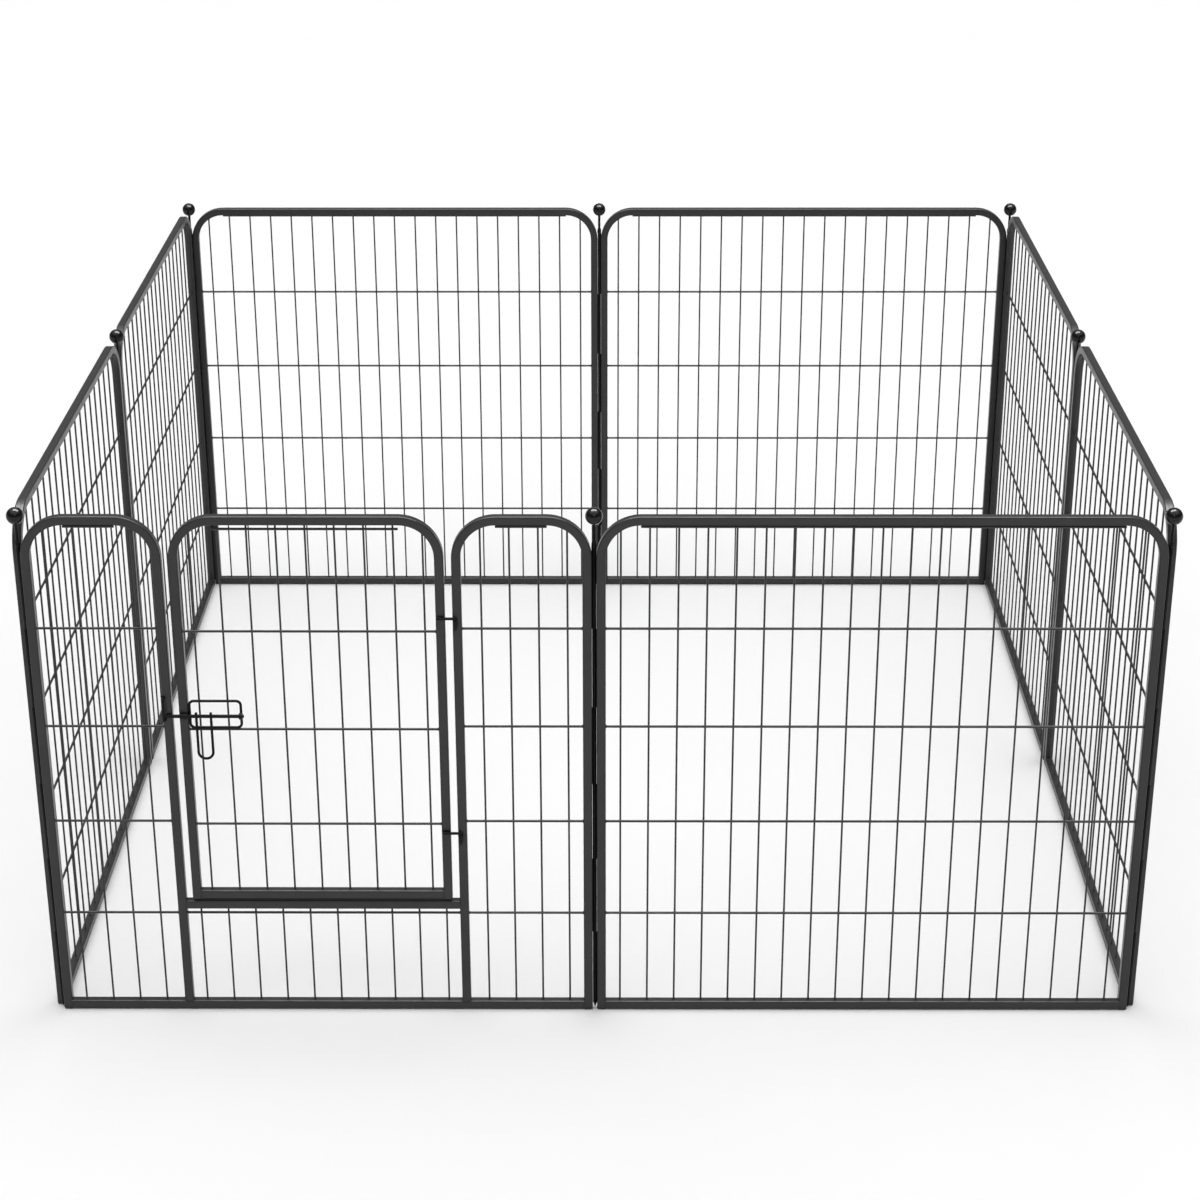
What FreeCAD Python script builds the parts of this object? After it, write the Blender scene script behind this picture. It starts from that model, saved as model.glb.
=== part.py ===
"""Folding metal pet playpen: eight wire panels in a ring, pinned at every seam, with one gated panel.

All sizes are in millimetres. The origin is on the floor at the middle of the pen, +Z is up, +X is to
the right and +Y is to the back, seen from the side that has the gate. A panel is drawn in its own
frame: x runs along the panel from the pin axis at its start to the pin axis at its finish, y points
into the pen, and z is up.
"""
import FreeCAD
import Part
import os
from math import sin, sqrt, tan

Vector = FreeCAD.Vector

# Panel frame
PIN_PITCH = 612.4            # from one pin axis to the next, along a panel
PANEL_HEIGHT = 609.6
PANEL_GAP = 5.0              # between the stiles of two neighbouring panels
TUBE = 10.0                  # outer size of the square tube
TUBE_WALL = 1.0
TUBE_EDGE = 1.5              # radius of the tube's long edges
BEND_RADIUS = 48.0           # outer radius of the bent top corners
PANEL_SET_OUT = 2.2          # how far the panel's middle plane lies outside the line of the pins
RAIL_LIFT = 1.0              # bottom rail above the floor

# Foot plugs
PLUG_HEIGHT = 5.0
PLUG_INSERT = 9.0
PLUG_CLEARANCE = 0.05
PLUG_ROUND = 1.2

# Wires
WIRE = 2.2                   # upright wires
CROSS_WIRE = 2.8             # level wires
WIRE_PITCH = 30.85
WIRE_COUNT = 19
WELD_SINK = 0.3              # how far crossing wires sink into each other at a weld
CROSS_LEVELS = (127.0, 244.5, 362.0, 479.5)
TOP_WIRE_DROP = 2.0          # top level wire below the top rail

# Seam hinges: pins through rolled knuckles
PIN_RADIUS = 1.8
PIN_TIP_RADIUS = 0.7
PIN_TIP_LENGTH = 5.0
PIN_FOOT = 1.0               # tip of the pin above the floor
PIN_SHOULDER_RADIUS = 2.6
PIN_SHOULDER_HEIGHT = 2.0
BALL_RADIUS = 9.5
BALL_HEIGHT = 608.0          # centre of the ball above the floor
KNUCKLE_BORE = 1.86
KNUCKLE_RADIUS = 2.3
KNUCKLE_COUNT = 6            # alternately on the panel before the seam and on the one after it
KNUCKLE_FOOT = 6.0
KNUCKLE_TOP = 572.0
KNUCKLE_CLEARANCE = 0.5
KNUCKLE_WELD = 2.4           # width of the weld between a knuckle and its stile
COLLAR_RADIUS = 2.9          # top of the uppermost knuckle
COLLAR_HEIGHT = 5.0

# Gated panel
GATE_SIDE_WIRES = 4          # upright wires in each narrow arch
GATE_LOW_WIRES = 10          # short wires under the threshold
ARCH_WIDTH = 149.5           # outer width of a narrow arch
THRESHOLD_FOOT = 132.8
LEAF_FOOT = 146.3
LEAF_LATCH_GAP = 7.6         # between the latch post and the leaf
LEAF_HINGE_GAP = 8.1         # between the leaf and the hinge post
LEAF_WIRES = 9
LEAF_WIRE_PITCH = 31.1
LEAF_FIRST_WIRE = 13.4       # from the leaf's inner edge
LEAF_TOP_WIRE_DROP = 4.7     # top level wire of the leaf below its rail
LEAF_LEVEL_DROP = 3.5        # the leaf's other level wires below the panel's

# Gate hinges
HINGE_LEVELS = (231.8, 493.3)    # centre of each pintle's level arm
HINGE_SET_IN = 3.1           # axis from the post's edge
HINGE_PIN_RADIUS = 1.6
HINGE_EYE_BORE = 1.66
HINGE_EYE_RADIUS = 2.6
HINGE_EYE_HEIGHT = 9.0
HINGE_STAND_OFF = 2.7        # axis in front of the post's face
HINGE_EYE_DROP = 2.0         # eye's top below the middle of the pintle's arm
PINTLE_WELD_LENGTH = 7.0

# Slide-bolt latch
BOLT_RADIUS = 2.0
BOLT_LENGTH = 85.0
BOLT_LEVEL = 376.5
BOLT_CLEARANCE = 0.3
BOLT_SHORT_OF_KEEPER = 0.6   # the bolt is drawn just clear of its keeper, so the gate is free
LATCH_WIRE = 3.0
BRACKET_LOW = 361.2
BRACKET_HIGH = 393.2
BRACKET_LENGTH = 56.0
BRACKET_CORNER = 5.0
GUIDE_RADIUS = 3.6
GUIDE_BORE = 2.06
GUIDE_LENGTH = 4.0
SADDLE_RADIUS = 3.4          # guide strap on the leaf's stile
SADDLE_LENGTH = 8.0
HANDLE_FIRST_LEG = 9.5       # from the leaf's inner edge
HANDLE_WIDTH = 16.0
HANDLE_FOOT = 326.8
HANDLE_STUB = 6.5            # leg above the bolt's axis
KEEPER_INSET = 1.5           # middle of the keeper's wire from the post's outer edge
KEEPER_HEIGHT = 26.5
KEEPER_RISE = 8.3            # keeper's middle above the bolt's axis
KEEPER_CLEARANCE = 0.4
KEEPER_CORNER = 3.0

# Worked out from the above
HALF_TUBE = TUBE / 2
HALF_GAP = PANEL_GAP / 2
MID_Y = -PANEL_SET_OUT
FRONT_Y = MID_Y - HALF_TUBE
RAIL_TOP = RAIL_LIFT + TUBE
UNDER_TOP_RAIL = PANEL_HEIGHT - TUBE
FIRST_WIRE = (PIN_PITCH - (WIRE_COUNT - 1) * WIRE_PITCH) / 2
CROSS_Y = MID_Y - (WIRE + CROSS_WIRE) / 2 + WELD_SINK
POST_OUTER = HALF_GAP + ARCH_WIDTH - TUBE
POST_INNER = HALF_GAP + ARCH_WIDTH
HINGE_POST = PIN_PITCH - POST_INNER
LEAF_START = POST_INNER + LEAF_LATCH_GAP
LEAF_FINISH = HINGE_POST - LEAF_HINGE_GAP
LEAF_INNER = LEAF_START + TUBE
HINGE_X = HINGE_POST + HINGE_SET_IN
HINGE_Y = FRONT_Y - HINGE_STAND_OFF
BOLT_Y = FRONT_Y - BOLT_RADIUS - BOLT_CLEARANCE
KEEPER_X = POST_OUTER + KEEPER_INSET
BOLT_START = KEEPER_X + LATCH_WIRE / 2 + BOLT_SHORT_OF_KEEPER
HANDLE_Y = BOLT_Y - BOLT_RADIUS - LATCH_WIRE / 2
KEEPER_Y = HANDLE_Y - KEEPER_CLEARANCE
COLLAR_TOP = KNUCKLE_TOP + COLLAR_HEIGHT

# The bolt's keeper stands out further at the front than the balls do at the back, so the ring is
# moved back by half of the difference, which puts the origin at the middle of the whole pen.
FRONT_REACH = -KEEPER_Y + LATCH_WIRE / 2
RING_SHIFT = (FRONT_REACH - BALL_RADIUS) / 2

# Panels in order round the ring, anticlockwise from above, with the direction of each one's x
PANELS = (
    ("front_left", 0), ("front_right", 0), ("right_front", 90), ("right_back", 90),
    ("back_right", 180), ("back_left", 180), ("left_back", 270), ("left_front", 270),
)
GATE_PANEL = "front_left"
PINS = ("front_left_corner", "front_middle", "front_right_corner", "right_middle",
        "back_right_corner", "back_middle", "back_left_corner", "left_middle")


def export(shape, node):
    shape.exportStep("parts/" + node + ".step")


def cylinder(radius, length, base, direction):
    return Part.makeCylinder(radius, length, base, direction)


def upright_wire(x, low, high, radius=WIRE / 2, y=MID_Y):
    return cylinder(radius, high - low, Vector(x, y, low), Vector(0, 0, 1))


def level_wire(start, finish, level, radius=CROSS_WIRE / 2, y=CROSS_Y):
    return cylinder(radius, finish - start, Vector(start, y, level), Vector(1, 0, 0))


def rounded_square(size, edge):
    """A square with rounded corners round the origin of the XY plane, as a closed wire."""
    half = size / 2
    flat = half - edge
    middle = flat + edge / sqrt(2)
    edges = []
    for turn in range(4):
        side = Part.makeLine(Vector(half, -flat, 0), Vector(half, flat, 0))
        corner = Part.Arc(Vector(half, flat, 0), Vector(middle, middle, 0), Vector(flat, half, 0)).toShape()
        for piece in (side, corner):
            piece.rotate(Vector(), Vector(0, 0, 1), 90 * turn)
            edges.append(piece)
    return Part.Wire(edges)


def arch_path(left, right, foot_left, foot_right):
    """Centre line of an inverted U whose outer edges are at left and right."""
    radius = BEND_RADIUS - HALF_TUBE
    low_x = left + HALF_TUBE
    high_x = right - HALF_TUBE
    top = PANEL_HEIGHT - HALF_TUBE
    bend_z = PANEL_HEIGHT - BEND_RADIUS
    half_turn = radius / sqrt(2)
    left_mid = Vector(low_x + radius - half_turn, MID_Y, bend_z + half_turn)
    right_mid = Vector(high_x - radius + half_turn, MID_Y, bend_z + half_turn)
    points = [
        Vector(low_x, MID_Y, foot_left), Vector(low_x, MID_Y, bend_z),
        Vector(low_x + radius, MID_Y, top), Vector(high_x - radius, MID_Y, top),
        Vector(high_x, MID_Y, bend_z), Vector(high_x, MID_Y, foot_right),
    ]
    return Part.Wire([
        Part.makeLine(points[0], points[1]),
        Part.Arc(points[1], left_mid, points[2]).toShape(),
        Part.makeLine(points[2], points[3]),
        Part.Arc(points[3], right_mid, points[4]).toShape(),
        Part.makeLine(points[4], points[5]),
    ])


def sweep(path, size, edge):
    """A square bar along a path that starts upward."""
    start = path.OrderedVertexes[0].Point
    section = rounded_square(size, edge)
    section.translate(start)
    return path.makePipeShell([section], True, False)


def arch_envelope(left, right, foot_left, foot_right):
    return sweep(arch_path(left, right, foot_left, foot_right), TUBE, TUBE_EDGE)


def arch_tube(left, right, foot_left, foot_right):
    """A hollow square tube bent into an inverted U."""
    hollow = sweep(arch_path(left, right, foot_left, foot_right), TUBE - 2 * TUBE_WALL, TUBE_EDGE - TUBE_WALL)
    return arch_envelope(left, right, foot_left, foot_right).cut(hollow)


def level_tube(start, finish, bottom):
    """A straight hollow square tube along x."""
    outer = Part.Face(rounded_square(TUBE, TUBE_EDGE))
    inner = Part.Face(rounded_square(TUBE - 2 * TUBE_WALL, TUBE_EDGE - TUBE_WALL))
    tube = outer.cut(inner).extrude(Vector(0, 0, finish - start))
    tube.rotate(Vector(), Vector(0, 1, 0), 90)
    tube.translate(Vector(start, MID_Y, bottom + HALF_TUBE))
    return tube.Solids[0]


def foot_plug(centre_x):
    """A push-in plastic cap that closes the foot of a stile."""
    cap = Part.Face(rounded_square(TUBE, TUBE_EDGE)).extrude(Vector(0, 0, PLUG_HEIGHT))
    bottom_edges = [edge for edge in cap.Edges if edge.BoundBox.ZMax < PLUG_HEIGHT / 2]
    cap = cap.makeChamfer(PLUG_ROUND, bottom_edges)
    insert_size = TUBE - 2 * TUBE_WALL - 2 * PLUG_CLEARANCE
    insert = Part.Face(rounded_square(insert_size, TUBE_EDGE - TUBE_WALL))
    insert = insert.extrude(Vector(0, 0, PLUG_INSERT))
    insert.translate(Vector(0, 0, PLUG_HEIGHT))
    plug = cap.fuse(insert)
    plug.translate(Vector(centre_x, MID_Y, 0))
    return plug


def foot_plugs():
    inset = HALF_GAP + HALF_TUBE
    return Part.makeCompound([foot_plug(inset), foot_plug(PIN_PITCH - inset)])


def weld_wires(wires, envelope):
    """Joins crossing wires into one grille and trims their ends to the frame."""
    grille = wires[0].fuse(wires[1:])
    grille = grille.cut(envelope)
    return max(grille.Solids, key=lambda solid: solid.Volume)


def grille(start, finish, wire_places, low, levels, top_wire, envelope):
    """Upright wires crossed by level ones, between two stiles whose inner edges are start and finish."""
    wires = [upright_wire(x, low, UNDER_TOP_RAIL + HALF_TUBE) for x in wire_places]
    wires += [level_wire(start, finish, level) for level in levels]
    bend_inset = BEND_RADIUS - TUBE
    wires.append(level_wire(start + bend_inset, finish - bend_inset, top_wire))
    return weld_wires(wires, envelope)


def knuckle(index, vertex_x, weld_side):
    """One rolled knuckle at a seam, welded to the stile on its weld_side."""
    length = (KNUCKLE_TOP - KNUCKLE_FOOT) / KNUCKLE_COUNT
    low = KNUCKLE_FOOT + index * length
    top_one = index == KNUCKLE_COUNT - 1
    height = length if top_one else length - KNUCKLE_CLEARANCE
    base = Vector(vertex_x, 0, low)
    barrel = cylinder(KNUCKLE_RADIUS, height, base, Vector(0, 0, 1))
    weld_x = vertex_x if weld_side > 0 else vertex_x - HALF_GAP
    weld = Part.makeBox(HALF_GAP, KNUCKLE_WELD, height, Vector(weld_x, -KNUCKLE_WELD / 2, low))
    body = barrel.fuse(weld)
    if top_one:
        collar_base = Vector(vertex_x, 0, KNUCKLE_TOP)
        body = body.fuse(cylinder(COLLAR_RADIUS, COLLAR_HEIGHT, collar_base, Vector(0, 0, 1)))
    bore = cylinder(KNUCKLE_BORE, height + COLLAR_HEIGHT + 2, base - Vector(0, 0, 1), Vector(0, 0, 1))
    return body.cut(bore)


def hinge_knuckles():
    """The odd knuckles at the panel's finish and the even ones at its start."""
    pieces = []
    for index in range(KNUCKLE_COUNT):
        if index % 2:
            pieces.append(knuckle(index, PIN_PITCH, -1))
        else:
            pieces.append(knuckle(index, 0, 1))
    return Part.makeCompound(pieces)


def seam_pin():
    """A plain rod with a pointed foot, a shoulder that rests on the top knuckle, and a ball on top."""
    up = Vector(0, 0, 1)
    tip = Part.makeCone(PIN_TIP_RADIUS, PIN_RADIUS, PIN_TIP_LENGTH, Vector(0, 0, PIN_FOOT), up)
    rod_foot = PIN_FOOT + PIN_TIP_LENGTH
    ball_seat = BALL_HEIGHT - BALL_RADIUS / 2
    rod = cylinder(PIN_RADIUS, ball_seat - rod_foot, Vector(0, 0, rod_foot), up)
    shoulder = cylinder(PIN_SHOULDER_RADIUS, PIN_SHOULDER_HEIGHT, Vector(0, 0, COLLAR_TOP), up)
    rod = tip.fuse([rod, shoulder])
    ball = Part.makeSphere(BALL_RADIUS, Vector(0, 0, BALL_HEIGHT)).cut(rod)
    return Part.makeCompound([rod, ball])


def bent_wire(points, bend, radius):
    """A round wire along straight runs that are joined by bends of one radius."""
    edges = []
    last = points[0]
    for index in range(1, len(points) - 1):
        corner = points[index]
        back = (points[index - 1] - corner).normalize()
        ahead = (points[index + 1] - corner).normalize()
        half_angle = back.getAngle(ahead) / 2
        enter = corner + back * (bend / tan(half_angle))
        leave = corner + ahead * (bend / tan(half_angle))
        inward = (back + ahead).normalize()
        centre = corner + inward * (bend / sin(half_angle))
        middle = centre - inward * bend
        if (enter - last).Length > 0.001:
            edges.append(Part.makeLine(last, enter))
        edges.append(Part.Arc(enter, middle, leave).toShape())
        last = leave
    edges.append(Part.makeLine(last, points[-1]))
    path = Part.Wire(edges)
    section = Part.Wire(Part.makeCircle(radius, points[0], points[1] - points[0]))
    return path.makePipeShell([section], True, False)


def standard_panel():
    """The pieces of a plain panel, by node ending."""
    left = HALF_GAP
    right = PIN_PITCH - HALF_GAP
    envelope = arch_envelope(left, right, 0, 0)
    wire_places = [FIRST_WIRE + WIRE_PITCH * index for index in range(WIRE_COUNT)]
    top_wire = UNDER_TOP_RAIL - TOP_WIRE_DROP
    wires = grille(left + TUBE, right - TUBE, wire_places, RAIL_TOP, CROSS_LEVELS, top_wire, envelope)
    return {
        "frame_tube": arch_tube(left, right, PLUG_HEIGHT, PLUG_HEIGHT),
        "bottom_rail": level_tube(left + TUBE, right - TUBE, RAIL_LIFT),
        "wire_grille": wires,
        "hinge_knuckles": hinge_knuckles(),
        "foot_plugs": foot_plugs(),
    }


def gate_side_grille(left, right, wire_places):
    """The grille of a narrow arch whose outer edges are left and right."""
    envelope = arch_envelope(left, right, 0, 0)
    top_wire = UNDER_TOP_RAIL - TOP_WIRE_DROP
    return grille(left + TUBE, right - TUBE, wire_places, RAIL_TOP, CROSS_LEVELS, top_wire, envelope)


def gate_low_grille():
    """Short wires between the bottom rail and the threshold, with one level wire."""
    middle = PIN_PITCH / 2
    first = middle - WIRE_PITCH * (GATE_LOW_WIRES - 1) / 2
    places = [first + WIRE_PITCH * index for index in range(GATE_LOW_WIRES)]
    wires = [upright_wire(x, RAIL_TOP, THRESHOLD_FOOT) for x in places]
    wires.append(level_wire(POST_INNER, HINGE_POST, CROSS_LEVELS[0]))
    return wires[0].fuse(wires[1:]).Solids[0]


def gate_panel_frame():
    """The pieces of the gated panel that stay with it when the gate opens."""
    left = HALF_GAP
    right = PIN_PITCH - HALF_GAP
    left_places = [FIRST_WIRE + WIRE_PITCH * index for index in range(GATE_SIDE_WIRES)]
    right_places = [PIN_PITCH - x for x in left_places]
    return {
        "latch_side_arch": arch_tube(left, POST_INNER, PLUG_HEIGHT, RAIL_TOP),
        "hinge_side_arch": arch_tube(HINGE_POST, right, RAIL_TOP, PLUG_HEIGHT),
        "bottom_rail": level_tube(left + TUBE, right - TUBE, RAIL_LIFT),
        "threshold_rail": level_tube(POST_INNER, HINGE_POST, THRESHOLD_FOOT),
        "side_grilles": Part.makeCompound([
            gate_side_grille(left, POST_INNER, left_places),
            gate_side_grille(HINGE_POST, right, right_places),
        ]),
        "low_grille": gate_low_grille(),
        "hinge_knuckles": hinge_knuckles(),
        "foot_plugs": foot_plugs(),
        "gate_hinge_eyes": gate_hinge_eyes(),
        "bolt_keeper": bolt_keeper(),
    }


def gate_hinge_eye(arm_level):
    """A short tube on the front of the hinge post that holds a pintle."""
    top = arm_level - HINGE_EYE_DROP
    base = Vector(HINGE_X, HINGE_Y, top - HINGE_EYE_HEIGHT)
    up = Vector(0, 0, 1)
    tube = cylinder(HINGE_EYE_RADIUS, HINGE_EYE_HEIGHT, base, up)
    weld_depth = FRONT_Y - HINGE_Y
    weld = Part.makeBox(2 * HINGE_EYE_BORE, weld_depth, HINGE_EYE_HEIGHT, base - Vector(HINGE_EYE_BORE, 0, 0))
    return tube.fuse(weld).cut(cylinder(HINGE_EYE_BORE, HINGE_EYE_HEIGHT, base, up))


def gate_hinge_eyes():
    return Part.makeCompound([gate_hinge_eye(level) for level in HINGE_LEVELS])


def gate_pintle(arm_level):
    """An L-shaped rod: its level arm is welded to the leaf's stile and its leg stands in an eye."""
    arm_start = LEAF_FINISH - TUBE + TUBE_EDGE
    leg_foot = arm_level - HINGE_EYE_DROP - HINGE_EYE_HEIGHT - 2
    points = [Vector(arm_start, HINGE_Y, arm_level), Vector(HINGE_X, HINGE_Y, arm_level),
              Vector(HINGE_X, HINGE_Y, leg_foot)]
    rod = bent_wire(points, HINGE_PIN_RADIUS * 1.2, HINGE_PIN_RADIUS)
    weld_base = Vector(arm_start, HINGE_Y, arm_level - HINGE_PIN_RADIUS)
    weld = Part.makeBox(PINTLE_WELD_LENGTH, FRONT_Y - HINGE_Y, HINGE_PIN_RADIUS * 2, weld_base)
    return rod.fuse(weld)


def gate_pintles():
    return Part.makeCompound([gate_pintle(level) for level in HINGE_LEVELS])


def gate_leaf():
    """The pieces that swing with the gate."""
    envelope = arch_envelope(LEAF_START, LEAF_FINISH, LEAF_FOOT, LEAF_FOOT)
    rail_top = LEAF_FOOT + TUBE
    first = LEAF_INNER + LEAF_FIRST_WIRE
    places = [first + LEAF_WIRE_PITCH * index for index in range(LEAF_WIRES)]
    top_wire = UNDER_TOP_RAIL - LEAF_TOP_WIRE_DROP
    levels = [level - LEAF_LEVEL_DROP for level in CROSS_LEVELS[1:]]
    leaf_grille = grille(LEAF_INNER, LEAF_FINISH - TUBE, places, rail_top, levels, top_wire, envelope)
    return {
        "leaf_tube": arch_tube(LEAF_START, LEAF_FINISH, LEAF_FOOT, LEAF_FOOT),
        "leaf_bottom_rail": level_tube(LEAF_INNER, LEAF_FINISH - TUBE, LEAF_FOOT),
        "leaf_grille": leaf_grille,
        "leaf_pintles": gate_pintles(),
        "bolt_bracket": bolt_bracket(),
    }


def bolt_saddle():
    """A short half-round strap over the bolt, welded to the front of the leaf's stile."""
    start = LEAF_START + (TUBE - SADDLE_LENGTH) / 2
    along = Vector(1, 0, 0)
    base = Vector(start, BOLT_Y, BOLT_LEVEL)
    strap = cylinder(SADDLE_RADIUS, SADDLE_LENGTH, base, along)
    strap = strap.cut(cylinder(GUIDE_BORE, SADDLE_LENGTH, base, along))
    stile_corner = Vector(start, FRONT_Y, BOLT_LEVEL - TUBE)
    return strap.cut(Part.makeBox(SADDLE_LENGTH, TUBE, 2 * TUBE, stile_corner))


def bolt_bracket():
    """A wire loop on the leaf with a short guide tube for the bolt, and the guide strap beside it."""
    wire_radius = LATCH_WIRE / 2
    y = FRONT_Y + wire_radius
    left = LEAF_INNER + wire_radius
    right = left + BRACKET_LENGTH
    middle = (left + right) / 2
    points = [Vector(middle, y, BRACKET_LOW), Vector(right, y, BRACKET_LOW), Vector(right, y, BRACKET_HIGH),
              Vector(left, y, BRACKET_HIGH), Vector(left, y, BRACKET_LOW), Vector(middle, y, BRACKET_LOW)]
    loop = bent_wire(points, BRACKET_CORNER, wire_radius)
    along = Vector(1, 0, 0)
    base = Vector(right - GUIDE_LENGTH / 2, BOLT_Y, BOLT_LEVEL)
    loop = loop.fuse(cylinder(GUIDE_RADIUS, GUIDE_LENGTH, base, along))
    loop = loop.cut(cylinder(GUIDE_BORE, GUIDE_LENGTH, base, along))
    return Part.makeCompound([loop, bolt_saddle()])


def latch_bolt():
    bolt = cylinder(BOLT_RADIUS, BOLT_LENGTH, Vector(BOLT_START, BOLT_Y, BOLT_LEVEL), Vector(1, 0, 0))
    return bolt.makeFillet(BOLT_RADIUS * 0.3, [edge for edge in bolt.Edges if edge.Closed])


def latch_handle():
    """A wire U that hangs from the front of the bolt."""
    left = LEAF_INNER + HANDLE_FIRST_LEG
    right = left + HANDLE_WIDTH
    top = BOLT_LEVEL + HANDLE_STUB
    points = [Vector(left, HANDLE_Y, top), Vector(left, HANDLE_Y, HANDLE_FOOT),
              Vector(right, HANDLE_Y, HANDLE_FOOT), Vector(right, HANDLE_Y, top)]
    return bent_wire(points, HANDLE_WIDTH / 2 - 0.1, LATCH_WIRE / 2)


def bolt_keeper():
    """A wire staple on the latch post that the bolt slides behind."""
    middle = BOLT_LEVEL + KEEPER_RISE
    low = middle - KEEPER_HEIGHT / 2
    high = middle + KEEPER_HEIGHT / 2
    points = [Vector(KEEPER_X, FRONT_Y, low), Vector(KEEPER_X, KEEPER_Y, low),
              Vector(KEEPER_X, KEEPER_Y, high), Vector(KEEPER_X, FRONT_Y, high)]
    return bent_wire(points, KEEPER_CORNER, LATCH_WIRE / 2)


def seam_places():
    """The pin axes round the ring, in the order of the panels that start at them."""
    reach = PIN_PITCH
    return ((-reach, -reach), (0, -reach), (reach, -reach), (reach, 0),
            (reach, reach), (0, reach), (-reach, reach), (-reach, 0))


def placed(shape, seam, turn):
    copy = shape.copy()
    copy.rotate(Vector(), Vector(0, 0, 1), turn)
    copy.translate(Vector(seam[0], seam[1] + RING_SHIFT, 0))
    return copy


def main():
    os.makedirs("parts", exist_ok=True)
    plain = standard_panel()
    gate = gate_panel_frame()
    gate_seam = seam_places()[0]
    for (panel, turn), seam in zip(PANELS, seam_places()):
        pieces = gate if panel == GATE_PANEL else plain
        for ending, shape in pieces.items():
            export(placed(shape, seam, turn), panel + "_" + ending)
    swinging = gate_leaf()
    swinging["latch_bolt"] = latch_bolt()
    swinging["latch_handle"] = latch_handle()
    for name, shape in swinging.items():
        export(placed(shape, gate_seam, 0), name)
    pin = seam_pin()
    for name, seam in zip(PINS, seam_places()):
        export(placed(pin, seam, 0), name + "_pin")


main()
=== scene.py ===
"""The look of a folding metal pet playpen: eight wire panels in a ring, pinned at every seam.

Every shape is drawn in millimetres in its panel's own frame: x runs along the panel from the pin at
its start to the pin at its finish, y points into the pen, and z is up from the floor. Places come
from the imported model, and the sizes named below are the finer ones that its boxes don't give.
"""

import math
import random

import bmesh
import bpy
from mathutils import Matrix, Vector


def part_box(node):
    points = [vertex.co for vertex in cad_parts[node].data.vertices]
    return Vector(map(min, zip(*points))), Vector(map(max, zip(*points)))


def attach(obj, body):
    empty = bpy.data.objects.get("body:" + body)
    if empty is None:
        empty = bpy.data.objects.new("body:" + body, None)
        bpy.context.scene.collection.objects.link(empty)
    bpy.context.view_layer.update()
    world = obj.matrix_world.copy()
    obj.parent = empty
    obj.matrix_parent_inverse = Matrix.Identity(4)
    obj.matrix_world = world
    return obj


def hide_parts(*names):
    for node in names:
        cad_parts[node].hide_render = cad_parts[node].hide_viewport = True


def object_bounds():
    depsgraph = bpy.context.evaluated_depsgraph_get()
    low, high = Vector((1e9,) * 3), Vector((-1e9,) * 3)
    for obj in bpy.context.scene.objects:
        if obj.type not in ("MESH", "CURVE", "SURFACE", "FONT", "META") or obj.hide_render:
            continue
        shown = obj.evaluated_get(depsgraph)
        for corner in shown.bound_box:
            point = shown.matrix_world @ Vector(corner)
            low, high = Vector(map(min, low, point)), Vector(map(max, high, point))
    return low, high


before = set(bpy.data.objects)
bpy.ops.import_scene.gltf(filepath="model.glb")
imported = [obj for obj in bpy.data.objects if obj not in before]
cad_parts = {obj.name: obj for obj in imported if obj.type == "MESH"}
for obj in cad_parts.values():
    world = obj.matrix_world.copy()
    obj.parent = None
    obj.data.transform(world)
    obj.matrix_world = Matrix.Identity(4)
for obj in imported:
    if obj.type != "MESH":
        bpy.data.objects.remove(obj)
CAD_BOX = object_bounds()
MM = 0.001
UP = Vector((0, 0, 1))
ALONG = Vector((1, 0, 0))
INWARD = Vector((0, 1, 0))

# Panels in order round the ring, anticlockwise from above, and the pin at the start of each
PANELS = ("front_left", "front_right", "right_front", "right_back",
          "back_right", "back_left", "left_back", "left_front")
PINS = ("front_left_corner_pin", "front_middle_pin", "front_right_corner_pin", "right_middle_pin",
        "back_right_corner_pin", "back_middle_pin", "back_left_corner_pin", "left_middle_pin")
GATE = "front_left"

# Square tube
TUBE = 10.0
TUBE_WALL = 1.0
TUBE_EDGE = 1.5
BEND_RADIUS = 48.0           # outer radius of the bent top corners
BEND_DISH = 0.3              # how far bending draws in the tube's outer and inner faces
EDGE_STEPS = 5
BEND_STEPS = 24

# Wires
WIRE = 2.2
CROSS_WIRE = 2.8
WIRE_PITCH = 30.85
WIRE_COUNT = 19
WELD_SINK = 0.3
CROSS_LEVELS = (127.0, 244.5, 362.0, 479.5)
GATE_SIDE_WIRES = 4
GATE_LOW_WIRES = 10
LEAF_WIRES = 9
LEAF_WIRE_PITCH = 31.1
TOP_WIRE_DROP = 2.0          # top level wire below a panel's top rail
LEAF_TOP_WIRE_DROP = 4.7
LEAF_LEVEL_DROP = 3.5        # the leaf's other level wires below the panel's
WIRE_SIDES = 16
DOME_RISE = 0.6              # height of a wire's domed end, in radii
END_SINK = 0.4               # how far a welded wire end runs into its tube
FLARE = ((0.0, 1.75), (0.5, 1.5), (0.9, 1.24), (1.4, 1.08), (2.2, 1.0))   # from a wire's end: reach, swell

# Welds
BEAD_RADIUS = 0.75
BEAD_STEP = 0.55             # between the rings of a bead
BEAD_INSET = 0.35            # a bead's line inside the outline of the tube it goes round
BEAD_RIPPLE = 1.3
SPOT_WELD = (1.75, 1.05, 1.7)            # half sizes of the lump where two wires cross
SPOT_SPREAD = 0.08
WEB_BEAD_RADIUS = 0.55
WEB_BEAD_RIPPLE = 1.1
WEB_BEAD_RINGS = 19
WEB_BEADS = (0.15, 0.5, 0.85)            # their middles, as shares of the web's height
HINGE_BEAD_STEP = 0.5
EYE_BEAD_RADIUS = 0.85
EYE_BEAD_RINGS = 16
PINTLE_BEAD_RINGS = 12
BRACKET_SIDE_WELD = (0.9, 1.1, 2.4)      # half sizes of the latch's lumps of weld
BRACKET_LOW_WELD = (2.2, 1.0, 0.8)
HANDLE_WELD = (1.9, 0.8, 1.7)
KEEPER_WELD = (2.4, 0.9, 2.4)

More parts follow.
